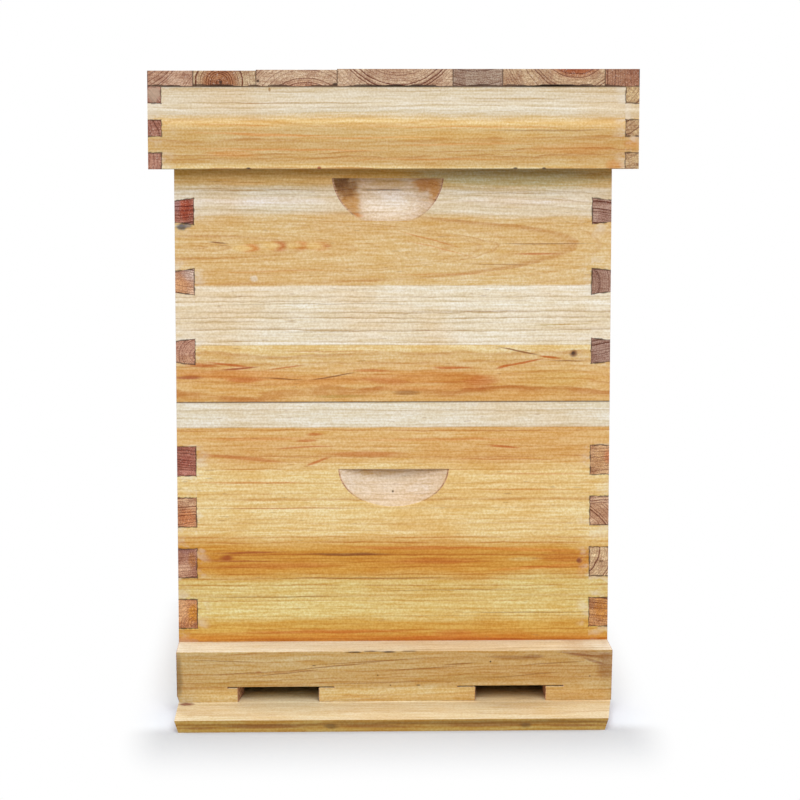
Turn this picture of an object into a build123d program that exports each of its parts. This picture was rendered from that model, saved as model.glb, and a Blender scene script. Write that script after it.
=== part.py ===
"""Two-storey ten-frame wooden beehive, millimetres, front towards -Y, ground at z = 0."""

import os

from build123d import *

# Frames and the space they hang in
frame_count = 10
frame_pitch = 35.0
side_space = 24.0
inner_length = 469.0
frame_end_space = 9.5
frame_drop = 8.0
lower_foot_space = 26.0
upper_foot_space = 5.0

# Boxes
wall = 18.0
lower_height = 266.0
upper_height = 245.0
rabbet_depth = 10.0
lower_finger = 28.0
lower_finger_gap = 21.0
lower_finger_margin = 42.0
upper_finger = 24.5
upper_finger_gap = 41.5
upper_finger_margin = 52.7
upper_finger_flare = 2.2
handhold_width = 105.0
handhold_depth = 13.0

# Handholds: drop below the box top, height, shares of the squared width kept halfway down and at the foot,
# and shift to one side
lower_handhold = (64.0, 37.0, 0.75, 0.0, 0.0)
upper_handhold = (34.0, 39.8, 0.76, 0.21, 5.3)

# Frame pieces
top_bar_width = 25.0
top_bar_height = 20.0
lug_height = 10.0
lug_end_gap = 3.5
end_bar_width = 25.0
end_bar_thickness = 10.0
bottom_bar_width = 15.0
bottom_bar_height = 10.0
foundation_thickness = 1.6
foundation_end_gap = 1.5
foundation_groove_width = 3.0
foundation_groove_depth = 5.0
wire_count = 3
wire_diameter = 0.5
wire_hole_diameter = 2.0
wire_clearance = 0.05

# Bottom board and entrance
floor_thickness = 11.0
floor_housing = 11.5
floor_plank_count = 4
floor_rear_tongue = 10.0
entrance_gap = 14.0
landing_reach = 110.0
landing_left_setback = 1.5
landing_right_overhang = 4.3
landing_right_skew = 14.5
landing_end_undercut = 3.5
block_height = 50.0
block_top_depth = 46.0
block_foot_depth = 38.0
block_clearance = 0.5
block_chip_width = 2.2
block_chip_height = 6.5
slot_height = 15.0
left_slot = (-147.6, -71.6)
right_slot = (76.2, 142.4)
slot_splay = 5.0
left_kerf_middle = -107.0
right_kerf_middle = 109.3
kerf_half_length = 50.0
kerf_thickness = 1.2

# Inner cover and lid
cover_thickness = 10.0
feed_hole_length = 90.0
feed_hole_width = 30.0
batten_width = 25.0
batten_height = 12.0
batten_inset = 60.0
lid_gap = 10.0
lid_rim = 12.5
lid_rim_height = 76.0
lid_finger = 15.2
lid_overlap = 25.0
lid_plank_parts = (42, 58, 75, 107, 46, 95, 32)
lid_plank_thicknesses = (14.6, 14.6, 15.4, 16.2, 16.2, 16.2, 16.2)
lid_plank_cups = (0.8, 0.9, 0.0, 1.1, 0.0, 1.4, 0.0)
lid_cup_edge = 6.0
cleat_width = 25.0

# Nails: shank diameter, head diameter, head thickness, length
box_nail = (2.6, 6.0, 1.2, 48.0)
lid_nail = (1.8, 4.0, 0.9, 36.0)
floor_nail = (2.0, 4.6, 1.0, 32.0)
nail_clearance = 0.05
lid_nail_edge = 9.0
lid_side_nails = 3

# Sizes that follow from the ones above
inner_width = frame_count * frame_pitch + side_space
box_width = inner_width + 2 * wall
box_length = inner_length + 2 * wall
floor_width = inner_width + 2 * floor_housing
lid_width = box_width + 2 * (lid_gap + lid_rim)
lid_length = box_length + 2 * (lid_gap + lid_rim)
rabbet_height = frame_drop + lug_height
lower_base = floor_thickness + entrance_gap
upper_base = lower_base + lower_height
cover_base = upper_base + upper_height
cover_top = cover_base + cover_thickness
rim_base = cover_base - lid_overlap
rim_top = rim_base + lid_rim_height
front_face = -box_length / 2
rear_face = box_length / 2
frame_length = inner_length - 2 * frame_end_space
top_bar_length = inner_length + 2 * (rabbet_depth - lug_end_gap)


def span(x, y, z):
    """A block between a low and a high limit on each axis."""
    size = [high - low for low, high in (x, y, z)]
    middle = [(high + low) / 2 for low, high in (x, y, z)]
    return Pos(*middle) * Box(*size)


def finger_spans(height, margin, finger, gap):
    """Heights taken by the side boards' fingers, from the top of a corner down."""
    spans = []
    top = height - margin
    while top > finger / 2:
        spans.append((max(top - finger, 0.0), top))
        top -= finger + gap
    return spans


def nail(size, slack=0.0):
    """A nail with its head flush at the origin and its point down, or its hole if slack is given."""
    shank, head, head_thickness, length = size
    radius = shank / 2 + slack
    tip = -length - slack
    point = 2 * radius
    top = Cylinder(head / 2 + slack, head_thickness, align=(Align.CENTER, Align.CENTER, Align.MAX))
    stem_length = length + slack - head_thickness - point
    stem = Pos(0, 0, -head_thickness - stem_length / 2) * Cylinder(radius, stem_length)
    end = Pos(0, 0, tip + point / 2) * Cone(radius * 0.15, radius, point)
    return top + stem + end


def drive(size, places):
    """Nails of one size, and the holes for them, at the given places."""
    nails = [place * nail(size) for place in places]
    holes = [place * nail(size, nail_clearance) for place in places]
    return nails, holes


def near(shape, holes):
    """The holes that a piece reaches."""
    box = shape.bounding_box()
    found = []
    for hole in holes:
        other = hole.bounding_box()
        apart = (
            other.min.X > box.max.X or other.max.X < box.min.X
            or other.min.Y > box.max.Y or other.max.Y < box.min.Y
            or other.min.Z > box.max.Z or other.max.Z < box.min.Z
        )
        if not apart:
            found.append(hole)
    return found


def bored(shape, holes):
    """A piece with its nail holes cut."""
    reached = near(shape, holes)
    if not reached:
        return shape
    return shape - reached


def handhold(face, outward, box_top, hollow):
    """The hollow for the fingers, cut by a tool that swings round an upright axis outside the face."""
    drop, height, fullness, foot_share, shift = hollow
    half = handhold_width / 2
    reach = (half**2 - handhold_depth**2) / (2 * handhold_depth)
    ledge = reach + handhold_depth
    middle = (reach**2 + fullness * half**2) ** 0.5
    foot = (reach**2 + foot_share * half**2) ** 0.5
    sides = Polyline((foot, -height), (0, -height), (0, 0), (ledge, 0))
    curve = ThreePointArc((ledge, 0), (middle, -height / 2), (foot, -height))
    profile = make_face(Plane.XZ * (sides + curve))
    return Pos(outward * shift, face + outward * reach, box_top - drop) * revolve(profile, Axis.Z, 360)


def corner_finger(outer, inner, length, low, high, flare, base):
    """A side board's finger, narrower at the outer face by the flare, but flat where it ends at the base."""
    outer_low = low + flare if low > base else low
    end = Polygon(
        (outer, outer_low), (inner, low), (inner, high), (outer, high - flare), align=None
    )
    return Pos(0, length[0], 0) * extrude(Plane.XZ * end, length[1] - length[0], dir=(0, 1, 0))


def hive_box(name, base, height, fingers, flare, hollow):
    """Four boards joined at the corners by fingers, with rabbets for the frames, handholds and nails."""
    top = base + height
    half_width = box_width / 2
    half_inside = inner_width / 2
    spans = [(base + low, base + high) for low, high in fingers]
    places = []
    for low, high in spans:
        for y in (front_face + wall / 2, rear_face - wall / 2):
            places.append(Location((-half_width, y, (low + high) / 2), (0, -90, 0)))
            places.append(Location((half_width, y, (low + high) / 2), (0, 90, 0)))
    nails, holes = drive(box_nail, places)
    boards = {}
    for side, face, outward in (("front", front_face, -1), ("back", rear_face, 1)):
        inner = face - outward * wall
        low_y, high_y = sorted((face, inner))
        board = span((-half_width, half_width), (low_y, high_y), (base, top))
        notches = []
        for low, high in spans:
            for sign in (-1, 1):
                outer_x, inner_x = sign * half_width, sign * half_inside
                notch = corner_finger(outer_x, inner_x, (low_y, high_y), low, high, flare, base)
                notches.append(notch)
        rabbet_y = sorted((inner, inner + outward * rabbet_depth))
        rabbet = span((-half_inside, half_inside), rabbet_y, (top - rabbet_height, top))
        board = board - notches - rabbet - handhold(face, outward, top, hollow)
        boards[f"{name}_{side}_board"] = bored(board, holes)
    for side, sign in (("left", -1), ("right", 1)):
        outer_x, inner_x = sign * half_width, sign * half_inside
        board = span(sorted((outer_x, inner_x)), (front_face + wall, rear_face - wall), (base, top))
        for low, high in spans:
            board += corner_finger(
                outer_x, inner_x, (front_face, rear_face), low, high, flare, base
            )
        boards[f"{name}_{side}_board"] = bored(board, holes)
    boards[f"{name}_box_nails"] = Compound(nails)
    return boards


def hanging_frame(x, base, height):
    """Top bar, two end bars and bottom bar, then the wax sheet and its wires."""
    top = base + height
    half = frame_length / 2
    inside = half - end_bar_thickness
    shoulder = top - lug_height
    bar_base = top - top_bar_height
    half_bar = top_bar_width / 2
    top_bar = span((x - half_bar, x + half_bar), (-inside, inside), (bar_base, top))
    lugs = top_bar_length / 2
    top_bar += span((x - half_bar, x + half_bar), (-lugs, lugs), (shoulder, top))
    groove = foundation_groove_width / 2
    groove_top = bar_base + foundation_groove_depth
    top_bar -= span((x - groove, x + groove), (-inside, inside), (bar_base, groove_top))

    half_foot = bottom_bar_width / 2
    foot_top = base + bottom_bar_height
    bottom_bar = span((x - half_foot, x + half_foot), (-half, half), (base, foot_top))

    wire_x = x + (foundation_thickness + wire_diameter) / 2 + wire_clearance
    window = bar_base - foot_top
    heights = [foot_top + window * (i + 1) / (wire_count + 1) for i in range(wire_count)]
    half_end = end_bar_width / 2
    end_bars = []
    for low, high in ((-half, -inside), (inside, half)):
        bar = span((x - half_end, x + half_end), (low, high), (base, shoulder))
        bar -= span((x - half_foot, x + half_foot), (low, high), (base, foot_top))
        for z in heights:
            hole = Cylinder(wire_hole_diameter / 2, end_bar_thickness)
            bar -= Location((wire_x, (low + high) / 2, z), (90, 0, 0)) * hole
        end_bars.append(bar)

    half_sheet = foundation_thickness / 2
    sheet_end = inside - foundation_end_gap
    sheet = span((x - half_sheet, x + half_sheet), (-sheet_end, sheet_end), (foot_top, groove_top - 1))
    wires = []
    for z in heights:
        wires.append(Location((wire_x, 0, z), (90, 0, 0)) * Cylinder(wire_diameter / 2, 2 * half))
    return [top_bar, *end_bars, bottom_bar], sheet, wires


def frame_set(name, base, height):
    """The row of frames of one box."""
    pieces = {}
    sheets = []
    wires = []
    for i in range(frame_count):
        x = (i - (frame_count - 1) / 2) * frame_pitch
        bars, sheet, frame_wires = hanging_frame(x, base, height)
        pieces[f"{name}_frame_{i + 1:02d}"] = Compound(bars)
        sheets.append(sheet)
        wires.extend(frame_wires)
    pieces[f"{name}_foundations"] = Compound(sheets)
    pieces[f"{name}_frame_wires"] = Compound(wires)
    return pieces


def landing_outline(front, undercut):
    """The landing board in front of the rails, seen from above, its right end cut askew."""
    left = -box_width / 2 + landing_left_setback + undercut
    right = box_width / 2 + landing_right_overhang - undercut
    return Polygon(
        (left, front),
        (right - landing_right_skew, front),
        (right, front_face),
        (left, front_face),
        align=None,
    )


def bottom_board():
    """Floor planks let into two side rails and a rear rail, the front plank being the landing board."""
    half_width = box_width / 2
    half_inside = inner_width / 2
    half_floor = floor_width / 2
    rail_top = lower_base
    floor_front = front_face - landing_reach
    floor_rear = rear_face - wall + floor_rear_tongue
    step = (floor_rear - floor_front) / floor_plank_count

    places = []
    for i in range(floor_plank_count):
        low = max(floor_front + i * step, front_face)
        high = min(floor_front + (i + 1) * step, rear_face - wall)
        y = (low + high) / 2
        places.append(Location((-half_width, y, floor_thickness / 2), (0, -90, 0)))
        places.append(Location((half_width, y, floor_thickness / 2), (0, 90, 0)))
    rear_z = floor_thickness + entrance_gap / 2
    places.append(Location((-half_width, rear_face - wall / 2, rear_z), (0, -90, 0)))
    places.append(Location((half_width, rear_face - wall / 2, rear_z), (0, 90, 0)))
    nails, holes = drive(floor_nail, places)

    pieces = {}
    bed = span((-half_floor, half_floor), (floor_front, floor_rear), (0, floor_thickness))
    for side, low, high in (
        ("left", -half_width, -half_inside),
        ("right", half_inside, half_width),
    ):
        rail = span((low, high), (front_face, rear_face), (0, rail_top)) - bed
        pieces[f"bottom_{side}_rail"] = bored(rail, holes)
    rear = span((-half_inside, half_inside), (rear_face - wall, rear_face), (0, rail_top)) - bed
    pieces["bottom_rear_rail"] = bored(rear, holes)
    for i in range(floor_plank_count):
        low = floor_front + i * step
        if i == 0:
            name = "landing_board"
            foot = landing_outline(floor_front, landing_end_undercut)
            top = Pos(0, 0, floor_thickness) * landing_outline(floor_front, 0)
            tail = span((-half_floor, half_floor), (front_face, low + step), (0, floor_thickness))
            plank = loft([foot, top], ruled=True) + tail
        else:
            name = f"floor_plank_{i + 1}"
            plank = span((-half_floor, half_floor), (low, low + step), (0, floor_thickness))
        pieces[name] = bored(plank, holes)
    pieces["bottom_nails"] = Compound(nails)
    return pieces


def entrance_block():
    """A bar with a leaning face, a chipped foot at its left end and two bee slots overrun by the saw."""
    back = front_face - block_clearance
    base = floor_thickness
    section = Polygon(
        (back, base),
        (back, base + block_height),
        (back - block_top_depth, base + block_height),
        (back - block_foot_depth, base),
        align=None,
    )
    bar = extrude(Plane.YZ * section, box_width / 2, both=True)
    end = -box_width / 2
    chip = Polygon(
        (end, base), (end + block_chip_width, base), (end, base + block_chip_height), align=None
    )
    chip = extrude(Plane.XZ * chip, 3 * block_top_depth, dir=(0, 1, 0))
    bar -= Pos(0, back - 2 * block_top_depth, 0) * chip
    lean = (block_top_depth - block_foot_depth) * slot_height / block_height
    face = back - block_foot_depth - lean
    slots = ((left_slot, slot_splay, left_kerf_middle), (right_slot, 0.0, right_kerf_middle))
    for (low, high), splay, kerf_middle in slots:
        outer = back - 2 * block_top_depth
        ratio = (face - outer) / (back - face)
        plan = Polygon(
            (low - splay * ratio, outer),
            (high, outer),
            (high, back + 1),
            (low + splay, back + 1),
            align=None,
        )
        bar -= Pos(0, 0, base) * extrude(plan, slot_height)
        kerf = Cylinder(kerf_half_length, kerf_thickness)
        bar -= Pos(kerf_middle, face, base + slot_height - kerf_thickness / 2) * kerf
    return {"entrance_block": bar}


def inner_cover():
    """A panel over the upper frames with a feed hole and two battens."""
    half_width = box_width / 2
    panel = span((-half_width, half_width), (front_face, rear_face), (cover_base, cover_top))
    hole = extrude(SlotOverall(feed_hole_length, feed_hole_width), cover_thickness)
    pieces = {"inner_cover_panel": panel - Pos(0, 0, cover_base) * hole}
    for side, y in (("front", front_face + batten_inset), ("rear", rear_face - batten_inset)):
        low, high = y - batten_width / 2, y + batten_width / 2
        batten = span((-half_width, half_width), (low, high), (cover_top, cover_top + batten_height))
        pieces[f"inner_cover_{side}_batten"] = batten
    return pieces


def lid():
    """A box-jointed rim, planks laid front to back on it, and two cleats that stand on the inner cover."""
    half_width = lid_width / 2
    half_length = lid_length / 2
    inner_x = half_width - lid_rim
    inner_y = half_length - lid_rim
    spans = finger_spans(lid_rim_height, 0.0, lid_finger, lid_finger)
    spans = [(rim_base + low, rim_base + high) for low, high in spans]

    edges = [-half_width]
    for part in lid_plank_parts:
        edges.append(edges[-1] + part * lid_width / sum(lid_plank_parts))
    tops = [rim_top + thickness for thickness in lid_plank_thicknesses]
    places = []
    for low, high, top in zip(edges, edges[1:], tops):
        for x in (low + lid_nail_edge, high - lid_nail_edge):
            for y in (-half_length + lid_rim / 2, half_length - lid_rim / 2):
                clear_of_corner = abs(x) < inner_x - lid_nail[0]
                if clear_of_corner:
                    places.append(Pos(x, y, top))
    for i in range(lid_side_nails):
        y = inner_y * (2 * (i + 1) / (lid_side_nails + 1) - 1)
        places.append(Pos(-half_width + lid_rim / 2, y, tops[0]))
        places.append(Pos(half_width - lid_rim / 2, y, tops[-1]))
    nails, holes = drive(lid_nail, places)

    pieces = {}
    for side, low, high in (("front", -half_length, -inner_y), ("back", inner_y, half_length)):
        rim = span((-half_width, half_width), (low, high), (rim_base, rim_top))
        for base, top in spans:
            rim -= span((-half_width, -inner_x), (low, high), (base, top))
            rim -= span((inner_x, half_width), (low, high), (base, top))
        pieces[f"lid_{side}_rim"] = bored(rim, holes)
    for side, low, high in (("left", -half_width, -inner_x), ("right", inner_x, half_width)):
        rim = span((low, high), (-inner_y, inner_y), (rim_base, rim_top))
        for base, top in spans:
            rim += span((low, high), (-half_length, half_length), (base, top))
        pieces[f"lid_{side}_rim"] = bored(rim, holes)
    for i, (low, high, top) in enumerate(zip(edges, edges[1:], tops)):
        plank = span((low, high), (-half_length, half_length), (rim_top, top))
        cup = lid_plank_cups[i]
        if cup:
            half_cup = (high - low) / 2 - lid_cup_edge
            radius = (half_cup**2 + cup**2) / (2 * cup)
            hollow = Rot(90, 0, 0) * Cylinder(radius, lid_length)
            plank -= Pos((low + high) / 2, 0, rim_top + cup - radius) * hollow
        pieces[f"lid_plank_{i + 1}"] = bored(plank, holes)
    for side, low, high in (
        ("front", -inner_y, -inner_y + cleat_width),
        ("rear", inner_y - cleat_width, inner_y),
    ):
        pieces[f"lid_{side}_cleat"] = span((-inner_x, inner_x), (low, high), (cover_top, rim_top))
    pieces["lid_nails"] = Compound(nails)
    return pieces


lower_fingers = finger_spans(lower_height, lower_finger_margin, lower_finger, lower_finger_gap)
upper_fingers = finger_spans(upper_height, upper_finger_margin, upper_finger, upper_finger_gap)
lower_frame_height = lower_height - frame_drop - lower_foot_space
upper_frame_height = upper_height - frame_drop - upper_foot_space

nodes = {}
nodes.update(bottom_board())
nodes.update(entrance_block())
nodes.update(hive_box("lower", lower_base, lower_height, lower_fingers, 0.0, lower_handhold))
nodes.update(frame_set("lower", lower_base + lower_foot_space, lower_frame_height))
nodes.update(
    hive_box("upper", upper_base, upper_height, upper_fingers, upper_finger_flare, upper_handhold)
)
nodes.update(frame_set("upper", upper_base + upper_foot_space, upper_frame_height))
nodes.update(inner_cover())
nodes.update(lid())

os.makedirs("parts", exist_ok=True)
for name, shape in nodes.items():
    export_step(shape, f"parts/{name}.step")
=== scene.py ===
import math

import bpy
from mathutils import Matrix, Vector

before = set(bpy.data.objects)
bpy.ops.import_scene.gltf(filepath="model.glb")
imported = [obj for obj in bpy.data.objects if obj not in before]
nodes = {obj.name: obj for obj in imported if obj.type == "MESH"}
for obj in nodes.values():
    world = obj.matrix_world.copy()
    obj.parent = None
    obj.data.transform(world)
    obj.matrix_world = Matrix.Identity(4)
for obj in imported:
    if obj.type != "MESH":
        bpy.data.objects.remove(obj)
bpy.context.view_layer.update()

# Sizes of the hive that the finishes follow, in metres
FRONT = -0.2525
BACK = 0.2525
WALL = 0.018
HALF_WIDTH = 0.205
HALF_INSIDE = 0.187
LOWER_BASE = 0.025
SEAM = 0.291
UPPER_TOP = 0.536
RIM_BASE = 0.511
RIM_TOP = 0.587
LID_HALF = 0.2275
LID_INSIDE = 0.215
LID_END_INSIDE = 0.2625
LOWER_LEDGE = 0.227
UPPER_LEDGE = 0.502
HAND_DEPTH = 0.0148
HAND_HALF = 0.064
FRAME_PITCH = 0.035
FRAME_RISE = 0.245  # from a frame in the lower box to the one over it
END_BAR = 0.215
END_BAR_TOP = 0.273

# Faces that marks lie on, in millimetres
FRONT_FACE = -252.5
BACK_FACE = 252.5
RIM_FACE = -275.0
LANDING_EDGE = -362.5


# Node tools

def srgb(r, g, b):
    """A colour given as it looks on a screen, 0 to 255, turned into linear light."""
    def linear(v):
        v /= 255.0
        return v / 12.92 if v <= 0.04045 else ((v + 0.055) / 1.055) ** 2.4
    return (linear(r), linear(g), linear(b), 1.0)


def grey(value):
    return (value, value, value, 1.0)


class Value:
    """A node's output. A sum or a comparison with it adds a Math node, and gives that node's output."""

    def __init__(self, socket):
        self.socket = socket

    def __add__(self, other):
        return maths("ADD", self, other)

    def __sub__(self, other):
        return maths("SUBTRACT", self, other)

    def __rsub__(self, other):
        return maths("SUBTRACT", other, self)

    def __mul__(self, other):
        return maths("MULTIPLY", self, other)

    def __truediv__(self, other):
        return maths("DIVIDE", self, other)

    def __mod__(self, other):
        return maths("FLOORED_MODULO", self, other)

    def __abs__(self):
        return maths("ABSOLUTE", self)

    def __gt__(self, limit):
        return maths("GREATER_THAN", self, limit)

    def __lt__(self, limit):
        return maths("LESS_THAN", self, limit)


def node(kind, inputs, tree=None, **settings):
    """A shader node with its settings; each input is a constant or a Value, which also tells the tree."""
    tree = tree or next(given.socket.id_data for given in inputs.values() if isinstance(given, Value))
    made = tree.nodes.new("ShaderNode" + kind)
    for key, setting in settings.items():
        setattr(made, key, setting)
    for key, given in inputs.items():
        if isinstance(given, Value):
            tree.links.new(given.socket, made.inputs[key])
        else:
            made.inputs[key].default_value = given
    return made


def result(kind, inputs, output=0, **settings):
    """One output of a new node."""
    return Value(node(kind, inputs, **settings).outputs[output])


def results(made):
    """A node's outputs by name."""
    return {socket.name: Value(socket) for socket in made.outputs}


def maths(operation, *values, clamp=False):
    return result("Math", dict(enumerate(values)), operation=operation, use_clamp=clamp)


def vector(x, y, z=0.0):
    return result("CombineXYZ", {0: x, 1: y, 2: z})


def split(colour):
    return list(results(node("SeparateColor", {0: colour})).values())


def noise(place, scale=1.0, detail=2.0, roughness=0.5):
    inputs = {"Vector": place, "Scale": scale, "Detail": detail, "Roughness": roughness}
    return result("TexNoise", inputs, "Fac")


def stretched(along, across, up, seed, scales, detail, roughness=0.5):
    """Noise with its own scale along the grain, across it and up."""
    place = vector(along * scales[0] + seed, across * scales[1], up * scales[2])
    return noise(place, 1.0, detail, roughness)


def chance(number):
    """A value of its own for each number, 0 to 1."""
    return result("TexWhiteNoise", {"W": number}, "Value", noise_dimensions="1D")


def ease(value, low, high, start=0.0, end=1.0):
    """A smooth step from start to end as the value goes from low to high."""
    inputs = {"Value": value, "From Min": low, "From Max": high, "To Min": start, "To Max": end}
    return result("MapRange", inputs, interpolation_type="SMOOTHSTEP")


def level(value, low, high):
    """How far a value has come from low to high, 0 to 1."""
    return result("MapRange", {"Value": value, "From Min": low, "From Max": high})


def mix(share, first, second, blend="MIX"):
    return result("Mix", {0: share, 6: first, 7: second}, 2, data_type="RGBA", blend_type=blend)


def ramp(value, stops, interpolation="LINEAR"):
    """A colour ramp from (place, colour) stops."""
    made = node("ValToRGB", {0: value})
    band = made.color_ramp
    band.interpolation = interpolation
    while len(band.elements) > 1:
        band.elements.remove(band.elements[-1])
    band.elements[0].position, band.elements[0].color = stops[0]
    for place, colour in stops[1:]:
        band.elements.new(place).color = colour
    return Value(made.outputs[0])


def group(name, inputs):
    """A new shader group and its inputs by name, each with its default: a number, a vector or a colour."""
    tree = bpy.data.node_groups.new(name, "ShaderNodeTree")
    for key, default in inputs.items():
        kind = "Float" if isinstance(default, float) else {3: "Vector", 4: "Color"}[len(default)]
        made = tree.interface.new_socket(key, in_out="INPUT", socket_type="NodeSocket" + kind)
        made.default_value = default
    return tree, results(tree.nodes.new("NodeGroupInput"))


def close(tree, **given):
    """A group with its outputs: the one named Color is a colour and the others are numbers."""
    for key in given:
        kind = "Color" if key == "Color" else "Float"
        tree.interface.new_socket(key, in_out="OUTPUT", socket_type="NodeSocket" + kind)
    ending = tree.nodes.new("NodeGroupOutput")
    for key, value in given.items():
        tree.links.new(value.socket, ending.inputs[key])
    return tree


def use(made, inputs):
    """A group placed in a material: its outputs by name."""
    return results(node("Group", inputs, node_tree=made))


def floats(*names):
    return dict.fromkeys(names, 0.0)


# Shared finishes

def growth_rings():
    """Softwood sawn from a log: rings round a pith that runs along the grain."""
    tree, got = group("growth_rings", {
        **floats("Along", "Across", "Up", "Pith Across", "Pith Up", "Lean", "Seed"),
        "Ring Width": 0.004, "Wander": 0.004, "Ripple": 0.6,
    })
    along, across, up, seed, width = (got[key] for key in ("Along", "Across", "Up", "Seed", "Ring Width"))
    slow = vector(along * 4.0 + seed, seed)
    drift = split(result("TexNoise", {"Vector": slow, "Scale": 1.0, "Detail": 1.0}, "Color"))
    wander = got["Wander"] * 2.0
    a = (drift[0] - 0.5) * wander + (across - (got["Lean"] * along + got["Pith Across"]))
    u = (drift[1] - 0.5) * wander + (up - got["Pith Up"])
    ripple = stretched(along, across, up, seed, (9.0, 45.0, 45.0), 3.0)
    tremble = stretched(along, across, up, seed, (70.0, 160.0, 160.0), 2.0)
    bend = (tremble - 0.5) * 0.45 + (ripple - 0.5) * got["Ripple"] * 2.0
    radius = bend * width + maths("SQRT", a * a + u * u)
    years = radius / width
    years = noise(vector(years * 0.37, seed, 4.0), 1.0, 1.0) * 2.6 + years
    line = ramp(maths("FRACT", years), [
        (0.0, grey(0.25)), (0.05, grey(0.0)), (0.46, grey(0.04)), (0.70, grey(0.36)), (0.85, grey(1.0)),
        (0.94, grey(0.9)), (1.0, grey(0.25)),
    ])
    count = maths("FLOOR", years) + seed
    year = chance(count)
    strong = year * year * 0.95 + 0.30
    dash = ease(noise(vector(along * 22.0 + seed, count * 5.3)), 0.34, 0.60, 0.30, 1.0)
    fine = stretched(along, across, up, seed, (26.0, 480.0, 480.0), 3.0, 0.65)
    short = stretched(along, across, up, seed, (75.0, 520.0, 520.0), 1.0)
    return close(
        tree, Ring=maths("MULTIPLY", line, strong * dash, clamp=True), Year=year, Radius=radius,
        Streak=ease(fine, 0.32, 0.68), Fleck=ease(short, 0.71, 0.80),
    )


def wood_tone():
    """The colour, gloss and relief of planed softwood round its average tone, with sawn end grain."""
    tree, got = group("wood_tone", {
        **floats("Ring", "Year", "Streak", "Fleck", "End"), "Late": 0.5, "Base": grey(0.7),
        "End Tint": srgb(190, 150, 125), "Place": (0.0, 0.0, 0.0),
    })
    place, ring, streak, end = (got[key] for key in ("Place", "Ring", "Streak", "End"))
    pale = ease(split(got["Base"])[2], 0.24, 0.44)
    dust = ease(noise(place, 520.0), 0.32, 0.68)
    blotch = ease(noise(place, 9.0, 3.0), 0.40, 0.68)
    gain = mix(pale, (1.19, 1.44, 1.84, 1.0), (1.20, 1.37, 1.70, 1.0))
    wood = mix(1.0, got["Base"], gain, "MULTIPLY")
    for share, tint in (
        (dust * 0.75, mix(pale, srgb(238, 220, 178), srgb(236, 228, 212))),
        (streak * 0.85, mix(pale, srgb(238, 214, 162), srgb(236, 225, 200))),
        (got["Year"] * 0.6, mix(pale, srgb(244, 230, 206), srgb(242, 232, 216))),
        (blotch * 0.6, srgb(248, 230, 204)),
        (maths("MULTIPLY", ring, got["Late"], clamp=True), mix(pale, srgb(214, 164, 108), srgb(206, 184, 154))),
    ):
        wood = mix(share, wood, tint, "MULTIPLY")
    wood = mix(got["Fleck"] * 0.38, wood, srgb(150, 98, 52))
    across = result("Mapping", {"Vector": place, "Rotation": (0.5, 0.7, 0.3), "Scale": (90.0, 90.0, 700.0)})
    saw = ease(noise(across, 1.0, 3.0, 0.6), 0.32, 0.68)
    pore = ease(noise(place, 1100.0, 1.0), 0.35, 0.65)
    stain = ease(noise(place, 70.0, 3.0), 0.42, 0.62)
    bright = mix(1.0, got["End Tint"], (1.50, 1.66, 1.74, 1.0), "MULTIPLY")
    sawn = mix(0.88, wood, bright)
    for share, tint in (
        (maths("MULTIPLY", ring, 1.25, clamp=True), srgb(140, 84, 64)),
        (pore * 0.70, srgb(190, 164, 148)),
        (saw * 0.65, srgb(206, 180, 166)),
        (stain * 0.50, srgb(196, 160, 150)),
    ):
        sawn = mix(share, sawn, tint, "MULTIPLY")
    crumb = ease(noise(place, 820.0, 2.0, 0.6), 0.60, 0.70)
    sawn = mix(crumb * 0.40, sawn, srgb(232, 216, 202))
    return close(
        tree, Color=mix(end, wood, sawn), Roughness=end * 0.20 + (streak * 0.14 + 0.50),
        Height=end * saw * -1.4 + (ring * -0.5 + streak * -0.6),
    )


def frayed_mark():
    """A streak, stain, dot or crack: a long or round patch, turned, with a frayed outline."""
    middle = (0.0, 0.0, 0.0)
    tree, got = group("frayed_mark", {
        "Place": middle, "At": middle, "Turn": middle, "Reach": (0.01, 0.01, 0.01), "Fray": 0.5,
    })
    turned = {"Vector": got["Place"], "Location": got["At"], "Rotation": got["Turn"], "Scale": got["Reach"]}
    local = result("Mapping", turned, vector_type="TEXTURE")
    length = result("VectorMath", {0: local}, "Value", operation="LENGTH")
    return close(tree, Mask=ease((got["Fray"] - 0.5) * 0.9 + length, 0.35, 1.0, 1.0, 0.0))


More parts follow.
